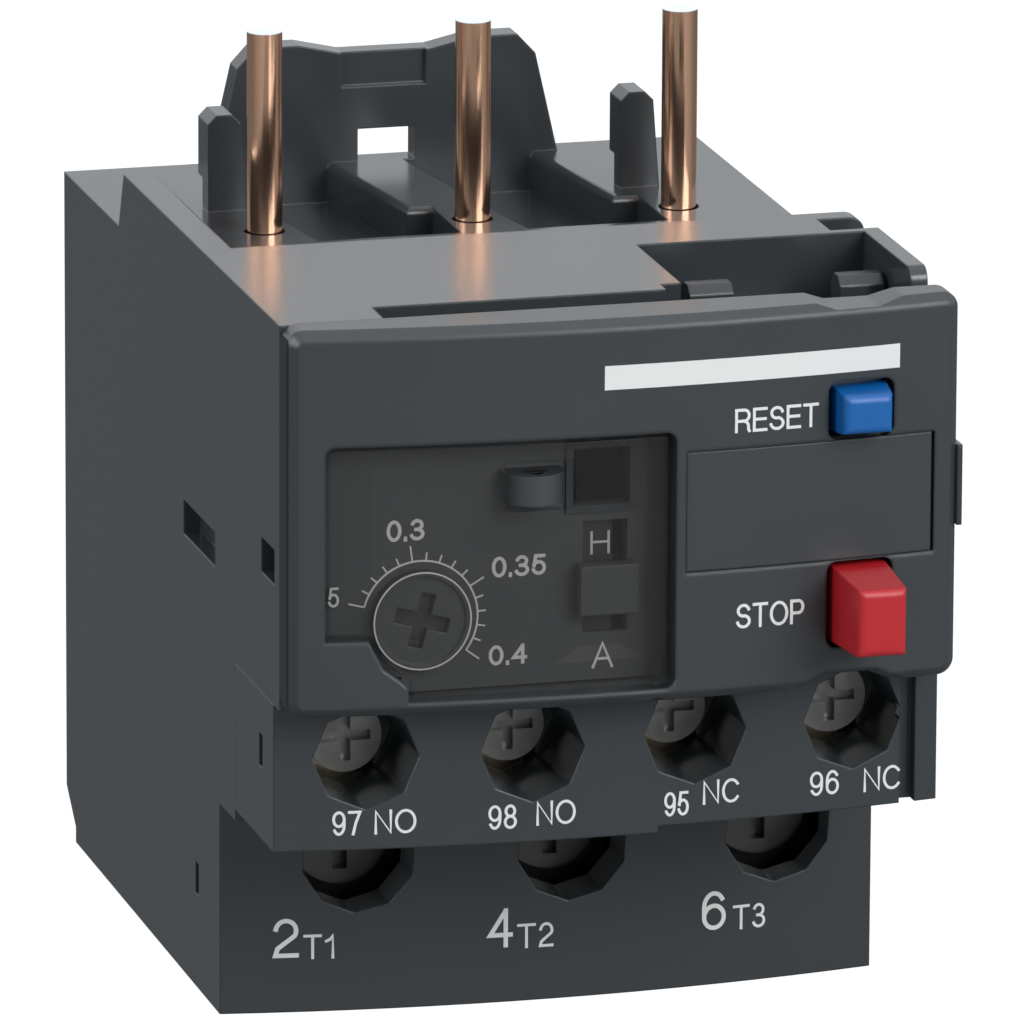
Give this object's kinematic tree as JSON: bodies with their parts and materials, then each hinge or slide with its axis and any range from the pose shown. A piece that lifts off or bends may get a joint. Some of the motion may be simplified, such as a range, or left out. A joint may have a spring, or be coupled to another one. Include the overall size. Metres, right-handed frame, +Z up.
{
  "type": "thermal overload relay",
  "caption": "Compact plug-in thermal overload relay with three line pins, a hinged window over its settings, reset and stop buttons and screw terminals.",
  "frame": {"origin": "middle of the relay's bounding box at its base", "axes": "+X to the relay's right seen from the front, +Y to its rear, +Z up along the plug-in pins"},
  "size_m": [0.0453, 0.0694, 0.061],
  "materials": {
    "housing_plastic": "charcoal moulded polyamide, fine spark texture",
    "cover_plastic": "charcoal moulded plastic, slightly smoother than the housing",
    "label_plastic": "blank dark marker plate",
    "smoked_window": "dark smoked clear polycarbonate, glossy",
    "scale_plastic": "dark plate with pale printed scale",
    "dial_plastic": "dark grey moulded plastic",
    "blue_plastic": "saturated blue moulded plastic, semi-gloss",
    "red_plastic": "saturated red moulded plastic, semi-gloss",
    "spring_steel": "bright drawn spring wire",
    "pin_copper": "bare copper, lightly toned",
    "bimetal_strip": "rolled bimetal strip",
    "heater_alloy": "resistance wire on a woven glass sleeve",
    "clamp_steel": "dull zinc-plated steel",
    "contact_brass": "stamped brass strip",
    "slider_plastic": "natural glass-filled polyamide"
  },
  "bodies": {
    "relay": {"main_housing": "housing_plastic", "rear_cover": "housing_plastic", "aux_terminal_block": "housing_plastic", "front_cover": "cover_plastic", "marker_plate": "label_plastic", "scale_plate": "scale_plastic", "reset_spring": "spring_steel", "stop_spring": "spring_steel", "main_pin_1": "pin_copper", "bimetal_1": "bimetal_strip", "heater_1": "heater_alloy", "load_bar_1": "pin_copper", "power_clamp_1": "clamp_steel", "power_screw_1": "clamp_steel", "main_pin_2": "pin_copper", "bimetal_2": "bimetal_strip", "heater_2": "heater_alloy", "load_bar_2": "pin_copper", "power_clamp_2": "clamp_steel", "power_screw_2": "clamp_steel", "main_pin_3": "pin_copper", "bimetal_3": "bimetal_strip", "heater_3": "heater_alloy", "load_bar_3": "pin_copper", "power_clamp_3": "clamp_steel", "power_screw_3": "clamp_steel", "aux_screw_97": "clamp_steel", "aux_clamp_97": "clamp_steel", "aux_terminal_97": "contact_brass", "aux_screw_98": "clamp_steel", "aux_clamp_98": "clamp_steel", "aux_terminal_98": "contact_brass", "aux_screw_95": "clamp_steel", "aux_clamp_95": "clamp_steel", "aux_terminal_95": "contact_brass", "aux_screw_96": "clamp_steel", "aux_clamp_96": "clamp_steel", "aux_terminal_96": "contact_brass", "lever_pin": "clamp_steel"},
    "lid": {"window_lid": "smoked_window"},
    "dial": {"setting_dial": "dial_plastic"},
    "selector": {"mode_selector": "dial_plastic"},
    "reset": {"reset_button": "blue_plastic"},
    "stop": {"stop_button": "red_plastic"},
    "slider": {"trip_slider": "slider_plastic"},
    "differential": {"differential_slider": "slider_plastic"},
    "lever": {"trip_lever": "slider_plastic"},
    "carrier": {"contact_carrier": "slider_plastic", "no_bridge": "contact_brass", "nc_bridge": "contact_brass"}
  },
  "joints": [
    {"name": "lid_swing", "type": "hinge", "parent": "relay", "child": "lid", "pos_m": [0.0019, -0.02912, 0.035], "axis": [0, 0, 1], "range_deg": [0, 95]},
    {"name": "dial_turn", "type": "hinge", "parent": "relay", "child": "dial", "pos_m": [-0.0134, -0.027, 0.0313], "axis": [0, 1, 0], "range_deg": [-100, 100]},
    {"name": "selector_slide", "type": "slide", "parent": "relay", "child": "selector", "axis": [0, 0, 1], "range_m": [-0.0014, 0.0028]},
    {"name": "reset_press", "type": "slide", "parent": "relay", "child": "reset", "axis": [0, 1, 0], "range_m": [0, 0.0015], "stiffness_N_per_m": 400, "springref_m": -0.0005, "deforming": ["reset_spring"]},
    {"name": "stop_press", "type": "slide", "parent": "relay", "child": "stop", "axis": [0, 1, 0], "range_m": [0, 0.0015], "stiffness_N_per_m": 400, "springref_m": -0.0005, "deforming": ["stop_spring"]},
    {"name": "trip_slide", "type": "slide", "parent": "relay", "child": "slider", "axis": [1, 0, 0], "range_m": [0, 0.002]},
    {"name": "differential_slide", "type": "slide", "parent": "relay", "child": "differential", "axis": [1, 0, 0], "range_m": [0, 0.001]},
    {"name": "lever_swing", "type": "hinge", "parent": "relay", "child": "lever", "pos_m": [0.0015, -0.00925, 0.03835], "axis": [0, 0, -1], "range_deg": [0, 12.5]},
    {"name": "contact_slide", "type": "slide", "parent": "relay", "child": "carrier", "axis": [0, -1, 0], "range_m": [0, 0.001]}
  ],
  "couplings": [
    {"joint": "differential_slide", "follows": "trip_slide", "ratio": 0.5},
    {"joint": "lever_swing", "follows": "trip_slide", "rad_per_m": 108.21},
    {"joint": "contact_slide", "follows": "trip_slide", "ratio": 0.5}
  ]
}
